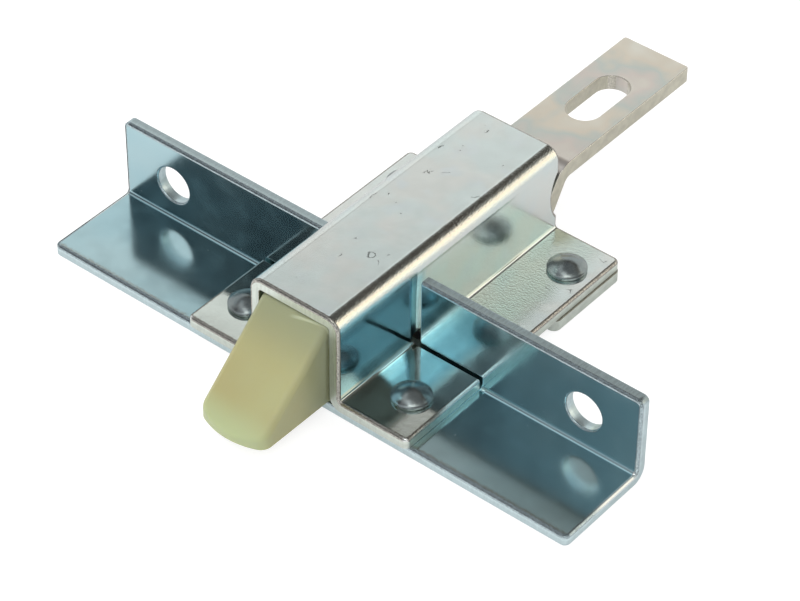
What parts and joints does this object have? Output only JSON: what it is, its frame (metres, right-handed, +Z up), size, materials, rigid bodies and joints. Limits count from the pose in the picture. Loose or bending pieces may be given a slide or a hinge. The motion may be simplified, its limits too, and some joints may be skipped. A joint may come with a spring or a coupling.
{
  "type": "baggage door latch",
  "caption": "Spring latch with a sloped nylon bolt in a riveted steel housing on a long mounting angle; a slotted bar at the rear draws the bolt back.",
  "frame": {"origin": "on the underside, in the middle of the mounting angle's front edge", "axes": "+X along the mounting angle, +Y from the bolt's nose to the pull bar, +Z up away from the underside"},
  "size_m": [0.1588, 0.1674, 0.0304],
  "materials": {
    "zinc_angle": "bright blue zinc plating, half mirror",
    "zinc_housing": "dull clear zinc plating with fine scratches",
    "zinc_plate": "clear zinc plating",
    "zinc_bar": "pale yellow iridescent zinc plating",
    "rivet_steel": "polished steel",
    "spring_steel": "drawn wire",
    "nylon": "moulded nylon, smooth, slightly translucent"
  },
  "bodies": {
    "carrier": {"mounting_angle": "zinc_angle", "housing": "zinc_housing", "base_plate": "zinc_plate", "front_left_rivet": "rivet_steel", "front_right_rivet": "rivet_steel", "rear_left_rivet": "rivet_steel", "rear_right_rivet": "rivet_steel", "return_spring": "spring_steel"},
    "bolt": {"latch_bolt": "nylon", "pull_bar": "zinc_bar"}
  },
  "joints": [
    {"name": "bolt_slide", "type": "slide", "parent": "carrier", "child": "bolt", "axis": [0, 1, 0], "range_m": [0, 0.024], "stiffness_N_per_m": 1400, "springref_m": -0.009, "deforming": ["return_spring"]}
  ]
}
